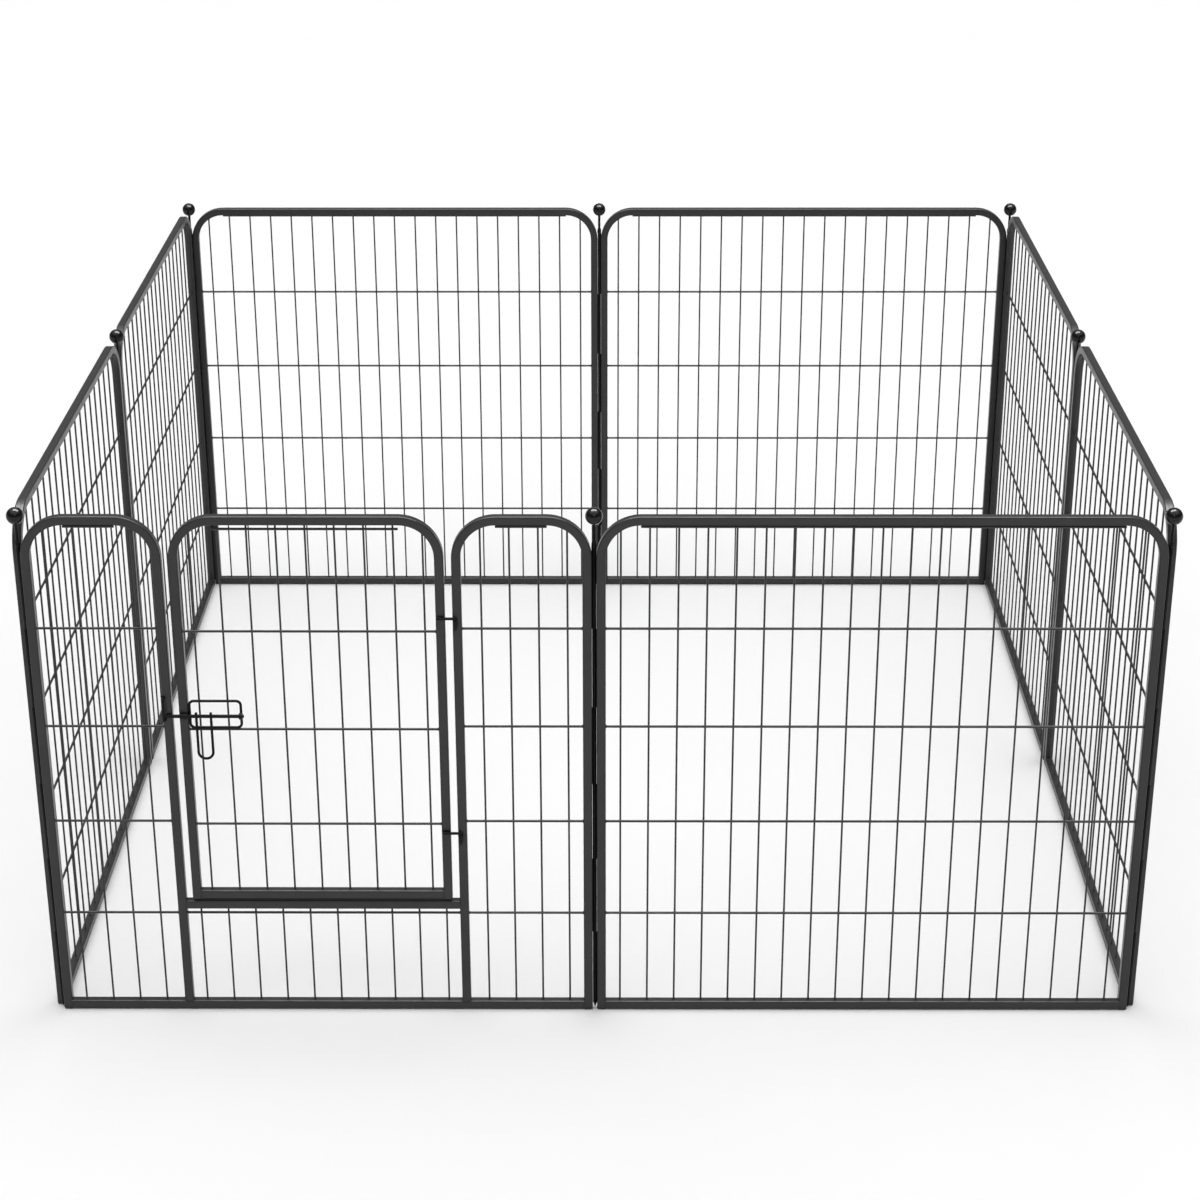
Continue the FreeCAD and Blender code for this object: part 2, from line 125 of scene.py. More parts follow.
# Seam hinges
KNUCKLE_COUNT = 6
KNUCKLE_BORE = 1.86
KNUCKLE_RADIUS = 2.3
KNUCKLE_FOOT = 6.0
KNUCKLE_TOP = 572.0
KNUCKLE_CLEARANCE = 0.5
KNUCKLE_WEB = 1.9            # thickness of the web between a knuckle and its stile
KNUCKLE_SLIT = 28.0          # degrees left open where the strip's edge meets itself
KNUCKLE_SIDES = 26
KNUCKLE_EASE = 0.14          # rounding of its outer rims
COLLAR_RADIUS = 2.9
COLLAR_HEIGHT = 5.0
PIN_RADIUS = 1.8
PIN_SHOULDER_RADIUS = 2.6
PIN_SHOULDER_HEIGHT = 2.0
PIN_TIP_LENGTH = 5.0
PIN_NECK = 0.9               # how much wider the rod is where it enters the ball
PIN_ENTRY = 0.93             # depth of that place below the ball's middle, in ball radii
BALL_SEAM = 0.05             # height of the ball's moulding line
BALL_SEAM_HALF = 0.35        # half its width

# Gate hinges and latch
HINGE_PIN_RADIUS = 1.6
HINGE_EYE_BORE = 1.66
HINGE_EYE_RADIUS = 2.6
HINGE_EYE_HEIGHT = 9.0
PINTLE_BEND = 1.2            # radius of a hinge rod's bend, in its own radii
PINTLE_PAST_EYE = 2.0        # how far a hinge rod reaches below its eye
LATCH_WIRE = 3.0
BRACKET_CORNER = 5.0
GUIDE_RADIUS = 3.6
GUIDE_BORE = 2.06
GUIDE_LENGTH = 4.0
SADDLE_RADIUS = 3.4
KEEPER_CORNER = 3.0
BOLT_CHAMFER = 1.1

dice = random.Random(24)


# ---------------------------------------------------------------- mesh building

class Form:
    """The points and faces of one piece, in millimetres, with a value at each point that sets painted shade
    along the tubes' rounded edges and lighter worn edges on the fittings.
    """

    def __init__(self):
        self.points = []
        self.faces = []
        self.wear_and_edge_shade = []

    def add_ring(self, points, wear_and_edge_shade):
        first = len(self.points)
        self.points.extend(points)
        self.wear_and_edge_shade.extend(wear_and_edge_shade)
        return list(range(first, first + len(points)))

    def bridge(self, ring_a, ring_b):
        count = len(ring_a)
        for index in range(count):
            after = (index + 1) % count
            self.faces.append((ring_a[index], ring_a[after], ring_b[after], ring_b[index]))

    def cap(self, ring):
        """Closes a ring with a fan round its middle."""
        middle = sum((self.points[index] for index in ring), Vector()) / len(ring)
        centre = self.add_ring([middle], [self.wear_and_edge_shade[ring[0]]])[0]
        for index in range(len(ring)):
            self.faces.append((ring[index], ring[(index + 1) % len(ring)], centre))


def circle(radius, sides=WIRE_SIDES):
    turns = [2 * math.pi * index / sides for index in range(sides)]
    return [(radius * math.cos(turn), radius * math.sin(turn)) for turn in turns]


def rounded_square(size, edge, steps=EDGE_STEPS):
    """Corner points of a square with rounded corners, and for each a weight that peaks half-way round a
    rounded edge; on the tubes it sets the painted edge shade.
    """
    half = size / 2
    flat = half - edge
    outline = []
    edge_weight = []
    for quarter in range(4):
        turn = Matrix.Rotation(quarter * math.pi / 2, 2)
        for step in range(steps + 1):
            angle = math.pi / 2 * step / steps
            corner = Vector((flat + edge * math.cos(angle), flat + edge * math.sin(angle)))
            outline.append(tuple(turn @ corner))
            edge_weight.append(math.sin(2 * angle))
        for share in (0.5, 0.0, -0.5):
            outline.append(tuple(turn @ Vector((flat * share, half))))
            edge_weight.append(0.0)
    return outline, edge_weight


def dished(outline, bent):
    """A tube's section where it is bent: its outer and inner faces are drawn in a little."""
    half = TUBE / 2
    return [(u * (1 - BEND_DISH / half * bent * max(0.0, 1 - (v / half) ** 2)), v) for u, v in outline]


def rounded_path(corners, radius, steps):
    """Stations along straight runs joined by arcs: point, direction and how bent it is there, 0 to 1."""
    stations = []
    heading = (corners[1] - corners[0]).normalized()
    stations.append((corners[0], heading, 0.0))
    for before, corner, after in zip(corners, corners[1:], corners[2:]):
        back = (before - corner).normalized()
        ahead = (after - corner).normalized()
        half = back.angle(ahead) / 2
        reach = radius / math.tan(half)
        centre = corner + (back + ahead).normalized() * (radius / math.sin(half))
        start = corner + back * reach - centre
        axis = ahead.cross(back).normalized()
        sweep_angle = math.pi - 2 * half
        for step in range(steps + 1):
            share = step / steps
            turn = Matrix.Rotation(sweep_angle * share, 3, axis)
            stations.append((centre + turn @ start, turn @ -back, math.sin(math.pi * share)))
    stations.append((corners[-1], (corners[-1] - corners[-2]).normalized(), 0.0))
    return stations


def swept(form, stations, normal, section, wear_and_edge_shade=None, closed=False, shape=None):
    """A section carried along stations that lie in a plane with that normal. Returns its rings."""
    rings = []
    wear_and_edge_shade = wear_and_edge_shade or [0.0] * len(section)
    for index, (point, heading, bent) in enumerate(stations):
        side = heading.cross(normal).normalized()
        outline = shape(section, bent) if shape else section
        rings.append(form.add_ring([point + side * u + normal * v for u, v in outline], wear_and_edge_shade))
    for ring_a, ring_b in zip(rings, rings[1:]):
        form.bridge(ring_a, ring_b)
    if closed:
        form.bridge(rings[-1], rings[0])
    return rings


def round_bar(form, stations, normal, radius, sides=WIRE_SIDES, wear_and_edge_shade=0.0):
    """A round wire along stations, with domed ends."""
    start, heading, _ = stations[0]
    end, leaving, _ = stations[-1]
    section = circle(radius, sides)
    rings = swept(form, stations, normal, section, [wear_and_edge_shade] * sides)
    for ring, centre, outward in ((rings[0], start, -heading), (rings[-1], end, leaving)):
        last = ring
        for step in range(1, 4):
            angle = math.pi / 2 * step / 4
            points = [centre + (form.points[index] - centre) * math.cos(angle)
                      + outward * radius * DOME_RISE * math.sin(angle) for index in ring]
            dome = form.add_ring(points, [wear_and_edge_shade] * sides)
            form.bridge(last, dome)
            last = dome
        form.cap(last)


def lathe(form, profile, base, axis=UP, sides=32, wear_and_edge_shade=None):
    """Turns (radius, height) pairs round an axis. A profile that starts and ends off the axis is a ring."""
    across = axis.orthogonal().normalized()
    beside = axis.cross(across)
    rings = []
    for place, (radius, height) in enumerate(profile):
        points = []
        for index in range(sides):
            turn = 2 * math.pi * index / sides
            points.append(base + axis * height + (across * math.cos(turn) + beside * math.sin(turn)) * radius)
        rings.append(form.add_ring(points, [wear_and_edge_shade[place] if wear_and_edge_shade else 0.0] * sides))
    for ring_a, ring_b in zip(rings, rings[1:]):
        form.bridge(ring_a, ring_b)
    return rings


def turned(form, profile, base, axis=UP, sides=32, wear_and_edge_shade=None):
    """A solid turned piece, closed at both ends."""
    rings = lathe(form, profile, base, axis, sides, wear_and_edge_shade)
    form.cap(rings[0])
    form.cap(rings[-1])


def collar_ring(form, outer, bore, length, base, axis=UP, sides=36, edge=0.35, flat=None):
    """A short tube with eased edges. With flat, its side towards +y is cut off at that distance."""
    ease = min(edge, (outer - bore) * 0.45)
    profile = [(bore + ease * 0.3, 0), (outer - ease, 0), (outer - ease * 0.3, ease * 0.3), (outer, ease),
               (outer, length - ease), (outer - ease * 0.3, length - ease * 0.3), (outer - ease, length),
               (bore + ease * 0.3, length), (bore, length - ease * 0.3), (bore, ease * 0.3)]
    first = len(form.points)
    rings = lathe(form, profile, base, axis, sides, [0, 0.5, 1, 0.5, 0.5, 1, 0.5, 0, 0, 0])
    form.bridge(rings[-1], rings[0])
    if flat:
        for index in range(first, len(form.points)):
            form.points[index].y = min(form.points[index].y, base.y + flat)


def nugget(form, centre, size, sides=10, layers=5):
    """A small rounded lump of weld."""
    rings = []
    for layer in range(1, layers):
        rise = math.pi * layer / layers
        points = []
        for index in range(sides):
            turn = 2 * math.pi * index / sides
            unit = Vector((math.sin(rise) * math.cos(turn), math.cos(rise), math.sin(rise) * math.sin(turn)))
            points.append(centre + Vector((unit.x * size[0], unit.y * size[1], unit.z * size[2])))
        rings.append(form.add_ring(points, [0.0] * sides))
    for ring_a, ring_b in zip(rings, rings[1:]):
        form.bridge(ring_a, ring_b)
    form.cap(rings[0])
    form.cap(rings[-1])


def bead(form, stations, normal, radius, closed, ripple=BEAD_RIPPLE, sides=8):
    """A line of weld with the ripples of its pool."""
    rings = []
    travelled = 0.0
    last = stations[0][0]
    phase = dice.uniform(0, math.pi)
    for point, heading, _ in stations:
        travelled += (point - last).length
        last = point
        swell = 0.86 + 0.22 * abs(math.sin(math.pi * travelled / ripple + phase)) + dice.uniform(-0.04, 0.04)
        side = heading.cross(normal).normalized()
        outline = circle(radius * swell, sides)
        rings.append(form.add_ring([point + side * u + normal * v for u, v in outline], [0.0] * sides))
    for ring_a, ring_b in zip(rings, rings[1:]):
        form.bridge(ring_a, ring_b)
    if closed:
        form.bridge(rings[-1], rings[0])
    else:
        form.cap(rings[0])
        form.cap(rings[-1])


def piece(name, form, body, nodes, finish, place):
    """Makes the form an object that rides on a body and stands for CAD nodes."""
    material, slot = finish
    mesh = bpy.data.meshes.new(name)
    mesh.from_pydata([tuple(point) for point in form.points], [], form.faces)
    mesh.transform(place @ Matrix.Scale(MM, 4))
    shell = bmesh.new()
    shell.from_mesh(mesh)
    bmesh.ops.recalc_face_normals(shell, faces=shell.faces)
    shell.to_mesh(mesh)
    shell.free()
    # the per-point value goes to the shader: on the tubes it paints shade along the rounded edges, on the
    # fittings it lightens worn edges
    wear_and_edge_shade = mesh.attributes.new("wear_and_edge_shade", "FLOAT", "POINT")
    wear_and_edge_shade.data.foreach_set("value", form.wear_and_edge_shade)
    mesh.shade_smooth()
    mesh.set_sharp_from_angle(angle=math.radians(38))
    mesh.materials.append(material)
    made = bpy.data.objects.new(name, mesh)
    bpy.context.scene.collection.objects.link(made)
    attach(made, body)
    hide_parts(*nodes)
    return made


# ---------------------------------------------------------------- small shared shapes

def closed_stations(outline, to_point, spacing):
    """Evenly spaced stations round a closed outline."""
    corners = [to_point(u, v) for u, v in outline]
    points = []
    for here, there in zip(corners, corners[1:] + corners[:1]):
        count = max(1, round((there - here).length / spacing))
        points += [here.lerp(there, step / count) for step in range(count)]
    stations = []
    for index, point in enumerate(points):
        before = points[index - 1]
        after = points[(index + 1) % len(points)]
        stations.append((point, (after - before).normalized(), 0.0))
    return stations


def straight(start, end):
    """Two stations for a straight run."""
    heading = (end - start).normalized()
    return [(start, heading, 0.0), (end, heading, 0.0)]


def tube_weld(form, centre, normal, across):
    """The bead all round the end of a square tube that meets another at that centre."""
    outline, _ = rounded_square(TUBE - 2 * BEAD_INSET, TUBE_EDGE)
    beside = normal.cross(across)
    stations = closed_stations(outline, lambda u, v: centre + across * u + beside * v, BEAD_STEP)
    bead(form, stations, normal, BEAD_RADIUS, closed=True)


def bead_run(form, start, heading, step, rings, normal, radius, ripple=BEAD_RIPPLE):
    """A straight line of weld with that many rings."""
    stations = [(start + heading * step * number, heading, 0.0) for number in range(rings)]
    bead(form, stations, normal, radius, closed=False, ripple=ripple)


def level_tube(form, box):
    """A level square tube that fills its box, with the welds at its ends."""
    low, high = box
    outline, edge_weight = rounded_square(TUBE, TUBE_EDGE)
    middle = (low + high) / 2
    run = straight(Vector((low.x, middle.y, middle.z)), Vector((high.x, middle.y, middle.z)))
    rings = swept(form, run, INWARD, outline, edge_weight)
    form.cap(rings[0])
    form.cap(rings[-1])
    for x in (low.x, high.x):
        tube_weld(form, Vector((x, middle.y, middle.z)), ALONG, INWARD)


def arch(form, box, foot_left, foot_right):
    """A hollow square tube bent into an inverted U that fills its box."""
    low, high = box
    half = TUBE / 2
    y = (low.y + high.y) / 2
    corners = [Vector((low.x + half, y, foot_left)), Vector((low.x + half, y, high.z - half)),
               Vector((high.x - half, y, high.z - half)), Vector((high.x - half, y, foot_right))]
    stations = rounded_path(corners, BEND_RADIUS - half, BEND_STEPS)
    outer, edge_weight = rounded_square(TUBE, TUBE_EDGE)
    inner, _ = rounded_square(TUBE - 2 * TUBE_WALL, TUBE_EDGE - TUBE_WALL)
    outside = swept(form, stations, INWARD, outer, edge_weight, shape=dished)
    inside = swept(form, stations, INWARD, inner, shape=dished)
    form.bridge(outside[0], inside[0])
    form.bridge(outside[-1], inside[-1])


def under_arch(x, low, high):
    """Height of the underside of an arch at x."""
    radius = BEND_RADIUS - TUBE
    past_left = low.x + TUBE + radius - x
    past_right = x - (high.x - TUBE - radius)
    past = max(past_left, past_right, 0.0)
    return high.z - TUBE - radius + math.sqrt(radius ** 2 - past ** 2)


def wire(form, start, end, radius, normal):
    """A straight wire whose ends flare into their welds."""
    heading = (end - start).normalized()
    length = (end - start).length
    stops = list(FLARE) + [(length - reach, swell) for reach, swell in reversed(FLARE)]
    side = heading.cross(normal).normalized()
    rings = []
    for reach, swell in stops:
        centre = start + heading * reach
        outline = circle(radius * swell)
        rings.append(form.add_ring([centre + side * u + normal * v for u, v in outline], [0.0] * WIRE_SIDES))
    for ring_a, ring_b in zip(rings, rings[1:]):
        form.bridge(ring_a, ring_b)
    form.cap(rings[0])
    form.cap(rings[-1])


def crossing(form, x, y, z):
    """The spot weld where a level wire crosses the front of an upright one."""
    swell = dice.uniform(1 - SPOT_SPREAD, 1 + SPOT_SPREAD)
    width, depth, height = SPOT_WELD
    nugget(form, Vector((x, y - WIRE / 2, z)), (width * swell, depth, height * swell))


def grille(form, places, low_z, top_of, levels, start, finish, y):
    """Upright wires at those places, crossed in front by level wires from start to finish."""
    cross_y = y - (WIRE + CROSS_WIRE) / 2 + WELD_SINK
    for x in places:
        foot = Vector((x, y, low_z - END_SINK))
        head = Vector((x, y, top_of(x) + END_SINK))
        wire(form, foot, head, WIRE / 2, INWARD)
    for level in levels:
        left = Vector((start - END_SINK, cross_y, level))
        right = Vector((finish + END_SINK, cross_y, level))
        wire(form, left, right, CROSS_WIRE / 2, INWARD)
        for x in places:
            crossing(form, x, y, level)


def top_wire(form, places, start, finish, level, y):
    """The level wire along an arch's top rail, between its bends."""
    cross_y = y - (WIRE + CROSS_WIRE) / 2 + WELD_SINK
    bend = BEND_RADIUS - TUBE
    run = straight(Vector((start + bend, cross_y, level)), Vector((finish - bend, cross_y, level)))
    round_bar(form, run, INWARD, CROSS_WIRE / 2)
    for x in places:
        if start + bend < x < finish - bend:
            crossing(form, x, y, level)


def plug(form, x, y, height):
    """A plastic cap in the foot of a stile, with a soft lower edge and a shallow line under the tube."""
    insert = TUBE - 2 * TUBE_WALL - 0.1
    groove = TUBE - 0.35
    soft_foot = [(TUBE - 3.0, 0.0, 1.0), (TUBE - 2.2, 0.12, 1.2),
                 (TUBE - 1.0, 0.55, 1.4), (TUBE - 0.3, 1.1, 1.5)]
    head = [(TUBE, 1.8, TUBE_EDGE), (TUBE, height - 0.5, TUBE_EDGE),
            (groove, height - 0.3, 1.4), (groove, height - 0.02, 1.4)]
    shank = [(insert, height, 0.5), (insert, height + 8.4, 0.5), (insert - 0.8, height + 9.0, 0.5)]
    rings = []
    for size, z, edge in soft_foot + head + shank:
        outline, edge_weight = rounded_square(size, edge)
        rings.append(form.add_ring([Vector((x + u, y + v, z)) for u, v in outline], edge_weight))
    for ring_a, ring_b in zip(rings, rings[1:]):
        form.bridge(ring_a, ring_b)
    form.cap(rings[0])
    form.cap(rings[-1])


def rolled_barrel(form, x, low, high):
    """A knuckle rolled from strip, open along a narrow slit that faces into the pen."""
    slit = math.radians(KNUCKLE_SLIT)
    first = math.pi / 2 + slit / 2
    turns = [first + (2 * math.pi - slit) * step / KNUCKLE_SIDES for step in range(KNUCKLE_SIDES + 1)]

    def layer_arc(radius, z):
        return [Vector((x + math.cos(turn) * radius, math.sin(turn) * radius, z)) for turn in turns]

    rim = 0.2
    layers = []
    for z, ease in ((low, KNUCKLE_EASE), (low + rim, 0.0), (high - rim, 0.0), (high, KNUCKLE_EASE)):
        outer = layer_arc(KNUCKLE_RADIUS - ease, z)
        inner = layer_arc(KNUCKLE_BORE, z)
        layers.append(form.add_ring(outer + inner[::-1], [0.6 if ease else 0.0] * (2 * len(turns))))
    for ring_a, ring_b in zip(layers, layers[1:]):
        form.bridge(ring_a, ring_b)
    count = len(turns)
    for ring in (layers[0], layers[-1]):
        for index in range(count - 1):
            form.faces.append((ring[index], ring[index + 1], ring[-2 - index], ring[-1 - index]))


def knuckle_web(form, x, low, high, weld_side, gap):
    """The strip's tail between a barrel and its stile, with three short welds on the pen's side."""
    near = x + weld_side * (KNUCKLE_RADIUS - 0.35)
    far = x + weld_side * (gap + END_SINK)
    half = KNUCKLE_WEB / 2
    left, right = sorted((near, far))
    ring_low = form.add_ring([Vector((left, -half, low)), Vector((right, -half, low)),
                              Vector((right, half, low)), Vector((left, half, low))], [0.0] * 4)
    ring_high = form.add_ring([form.points[index] + UP * (high - low) for index in ring_low], [0.0] * 4)
    form.bridge(ring_low, ring_high)
    form.cap(ring_low)
    form.cap(ring_high)
    weld_x = x + weld_side * (gap - 0.25)
    for share in WEB_BEADS:
        first = low + (high - low) * share - (WEB_BEAD_RINGS - 1) / 2 * BEAD_STEP
        bead_run(form, Vector((weld_x, half + 0.1, first)), UP, BEAD_STEP, WEB_BEAD_RINGS, INWARD,
                 WEB_BEAD_RADIUS, WEB_BEAD_RIPPLE)


# ---------------------------------------------------------------- materials

# Depths of the surface relief, in metres
PEEL_DEPTH = 0.000018
GRIT_DEPTH = 0.000004
BALL_RELIEF = 0.00003
PLASTIC_GRAIN = 0.00004


def shader(name):
    """A new material and its nodes: a helper that adds a node, the links and the Principled shader."""
    material = bpy.data.materials.new(name)
    material.use_nodes = True
    tree = material.node_tree

    def add(kind, **settings):
        node = tree.nodes.new(kind)
        for key, value in settings.items():
            setattr(node, key, value)
        return node

    return material, add, tree.links, tree.nodes["Principled BSDF"]


def object_noise(add, links, scale, detail=2.0, roughness=0.5):
    """Noise fixed to the piece itself. The scale is in features per metre."""
    place = add("ShaderNodeTexCoord")
    pattern = add("ShaderNodeTexNoise")
    pattern.inputs["Scale"].default_value = scale
    pattern.inputs["Detail"].default_value = detail
    pattern.inputs["Roughness"].default_value = roughness
    links.new(place.outputs["Object"], pattern.inputs["Vector"])
    return pattern.outputs["Fac"]


def remap(add, links, value, low, high, start=0.3, end=0.7):
    """Spreads a value's start to end over low to high."""
    spread = add("ShaderNodeMapRange")
    spread.inputs["From Min"].default_value = start
    spread.inputs["From Max"].default_value = end
    spread.inputs["To Min"].default_value = low
    spread.inputs["To Max"].default_value = high
    links.new(value, spread.inputs["Value"])
    return spread.outputs["Result"]


def blend_colours(add, links, share, first, second):
    """A mix of two colours, or of a colour and what another mix gives."""
    mix = add("ShaderNodeMix", data_type="RGBA")
    links.new(share, mix.inputs["Factor"])
    for socket, value in ((mix.inputs["A"], first), (mix.inputs["B"], second)):
        if isinstance(value, tuple):
            socket.default_value = (*value, 1.0)
        else:
            links.new(value, socket)
    return mix.outputs["Result"]


def bumps(add, links, principled, layers):
    """Stacks bumps of (height output, depth in metres) on the shader's normal."""
    last = None
    for height, depth in layers:
        bump = add("ShaderNodeBump")
        bump.inputs["Strength"].default_value = 1.0
        bump.inputs["Distance"].default_value = depth
        links.new(height, bump.inputs["Height"])
        if last:
            links.new(last, bump.inputs["Normal"])
        last = bump.outputs["Normal"]
    links.new(last, principled.inputs["Normal"])


def powder_coat(name, colour, lighter, edge, gloss, ior):
    """Baked powder coat: a faint orange peel, cloudy gloss, and another colour along the edges: darker
    painted shade on the tubes and wires, a lighter worn colour on the fittings.
    """
    material, add, links, principled = shader(name)
    clouds = object_noise(add, links, 26.0, 3.0)
    body = blend_colours(add, links, remap(add, links, clouds, 0.0, 1.0), colour, lighter)
    # per-point edge weight, broken into patches: a darker edge colour is painted shade on the rounded edges,
    # a lighter one is wear
    edge_weight = add("ShaderNodeAttribute", attribute_name="wear_and_edge_shade").outputs["Fac"]
    edge_wear_and_shade_share = add("ShaderNodeMath", operation="MULTIPLY")
    links.new(edge_weight, edge_wear_and_shade_share.inputs[0])
    edge_wear_and_shade_patches = object_noise(add, links, 190.0, 4.0)
    links.new(remap(add, links, edge_wear_and_shade_patches, 0.35, 1.0), edge_wear_and_shade_share.inputs[1])
    tinted = blend_colours(add, links, edge_wear_and_shade_share.outputs["Value"], body, edge)
    links.new(tinted, principled.inputs["Base Color"])
    sheen_clouds = object_noise(add, links, 75.0, 3.0)
    links.new(remap(add, links, sheen_clouds, *gloss), principled.inputs["Roughness"])
    principled.inputs["IOR"].default_value = ior
    peel = object_noise(add, links, 650.0, 1.0)
    grit = object_noise(add, links, 2600.0, 2.0)
    bumps(add, links, principled, ((peel, PEEL_DEPTH), (grit, GRIT_DEPTH)))
    return material


def gloss_black():
    """Glossy enamel on the balls, with hairline scuffs that only show in the highlights."""
    material, add, links, principled = shader("pin_gloss")
    haze = object_noise(add, links, 90.0, 3.0)
    links.new(blend_colours(add, links, haze, (0.002, 0.002, 0.0022), (0.0045, 0.0045, 0.005)),
              principled.inputs["Base Color"])
    scuffs = object_noise(add, links, 1400.0, 6.0, 0.7)
    links.new(remap(add, links, scuffs, 0.05, 0.15, 0.45, 0.75), principled.inputs["Roughness"])
    principled.inputs["IOR"].default_value = 1.36
    bumps(add, links, principled, ((object_noise(add, links, 260.0, 2.0), BALL_RELIEF),))
    return material


def moulded_plastic():
    """Matt black plastic of the foot plugs, with a fine spark-eroded grain."""
    material, add, links, principled = shader("foot_plastic")
    clouds = object_noise(add, links, 120.0, 3.0)
    links.new(blend_colours(add, links, clouds, (0.010, 0.010, 0.010), (0.019, 0.019, 0.020)),
              principled.inputs["Base Color"])
    grain = object_noise(add, links, 420.0, 2.0)
    links.new(remap(add, links, grain, 0.48, 0.66), principled.inputs["Roughness"])
    bumps(add, links, principled, ((object_noise(add, links, 1900.0, 2.0), PLASTIC_GRAIN),))
    return material


LOOKS = {
    # the third colour goes on the rounded edges: on tube_coat and wire_coat it is darker painted shade, on
    # fitting_coat a lighter worn colour
    "tube_coat": powder_coat("tube_coat", (0.024, 0.024, 0.0245), (0.030, 0.030, 0.0306),
                             (0.008, 0.008, 0.0082), (0.29, 0.37), 1.40),
    "wire_coat": powder_coat("wire_coat", (0.020, 0.020, 0.0204), (0.028, 0.028, 0.0285),
                             (0.010, 0.010, 0.0102), (0.32, 0.44), 1.40),
    "fitting_coat": powder_coat("fitting_coat", (0.0025, 0.0025, 0.0026), (0.0045, 0.0045, 0.0047),
                                (0.010, 0.010, 0.0102), (0.34, 0.46), 1.25),
    "pin_gloss": gloss_black(),
    "foot_plastic": moulded_plastic(),
}


def look(slot):
    return LOOKS[slot], slot


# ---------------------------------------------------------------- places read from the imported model

def seam(pin):
    """The pin's axis at the floor, in metres."""
    low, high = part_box(pin)
    return Vector(((low.x + high.x) / 2, (low.y + high.y) / 2, 0.0))


def panel_place(index):
    """Where the frame of the panel at that place in the ring stands."""
    start = seam(PINS[index])
    along = (seam(PINS[(index + 1) % len(PINS)]) - start).normalized()
    turn = Matrix((along, UP.cross(along), UP)).transposed().to_4x4()
    return Matrix.Translation(start) @ turn


def local_box(node, place):
    """A node's box in its panel's frame, in millimetres."""
    ends = [(place.inverted() @ corner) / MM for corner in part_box(node)]
    low = Vector(map(min, *ends))
    high = Vector(map(max, *ends))
    return low, high


def pitch_of(index):
    """From the pin axis at a panel's start to the one at its finish, in millimetres."""
    return (seam(PINS[(index + 1) % len(PINS)]) - seam(PINS[index])).length / MM


# ---------------------------------------------------------------- panels

def seam_knuckles(panel, body, index, place):
    """The rolled knuckles: even ones at the panel's start and odd ones at its finish."""
    pitch = pitch_of(index)
    gap = (pitch - frame_width(panel, place)) / 2
    form = Form()
    length = (KNUCKLE_TOP - KNUCKLE_FOOT) / KNUCKLE_COUNT
    for number in range(KNUCKLE_COUNT):
        x, weld_side = (pitch, -1) if number % 2 else (0.0, 1)
        low = KNUCKLE_FOOT + number * length
        top_one = number == KNUCKLE_COUNT - 1
        high = low + length - (0 if top_one else KNUCKLE_CLEARANCE)
        rolled_barrel(form, x, low, high)
        knuckle_web(form, x, low, high, weld_side, gap)
        if top_one:
            collar_ring(form, COLLAR_RADIUS, KNUCKLE_BORE, COLLAR_HEIGHT, Vector((x, 0, high)))
    piece(panel + "_knuckles", form, body, [panel + "_hinge_knuckles"], look("fitting_coat"), place)


def frame_width(panel, place):
    low, high = local_box(panel + "_foot_plugs", place)
    return high.x - low.x


def foot_caps(panel, body, place, height):
    form = Form()
    low, high = local_box(panel + "_foot_plugs", place)
    y = (low.y + high.y) / 2
    for x in (low.x + TUBE / 2, high.x - TUBE / 2):
        plug(form, x, y, height)
    piece(panel + "_feet", form, body, [panel + "_foot_plugs"], look("foot_plastic"), place)


def rail(name, node, body, place):
    """A level tube that stands for one node. Returns the node's box."""
    form = Form()
    box = local_box(node, place)
    level_tube(form, box)
    piece(name, form, body, [node], look("tube_coat"), place)
    return box


def plain_panel(panel, index):
    """One of the seven panels without a gate."""
    body = panel + "_panel"
    place = panel_place(index)
    box = local_box(panel + "_frame_tube", place)
    low, high = box
    y = (low.y + high.y) / 2
    form = Form()
    arch(form, box, low.z, low.z)
    piece(panel + "_frame", form, body, [panel + "_frame_tube"], look("tube_coat"), place)
    rail_box = rail(panel + "_rail", panel + "_bottom_rail", body, place)
    wires = Form()
    first = (pitch_of(index) - (WIRE_COUNT - 1) * WIRE_PITCH) / 2
    places = [first + WIRE_PITCH * number for number in range(WIRE_COUNT)]
    inner_left, inner_right = low.x + TUBE, high.x - TUBE
    grille(wires, places, rail_box[1].z, lambda x: under_arch(x, low, high), CROSS_LEVELS,
           inner_left, inner_right, y)
    top_wire(wires, places, inner_left, inner_right, high.z - TUBE - TOP_WIRE_DROP, y)
    piece(panel + "_wires", wires, body, [panel + "_wire_grille"], look("wire_coat"), place)
    seam_knuckles(panel, body, index, place)
    foot_caps(panel, body, place, low.z)


def gate_side(form, box, places, rail_top):
    """The grille inside one of the gated panel's narrow arches."""
    low, high = box
    y = (low.y + high.y) / 2
    inner_left, inner_right = low.x + TUBE, high.x - TUBE
    grille(form, places, rail_top, lambda x: under_arch(x, low, high), CROSS_LEVELS,
           inner_left, inner_right, y)
    top_wire(form, places, inner_left, inner_right, high.z - TUBE - TOP_WIRE_DROP, y)


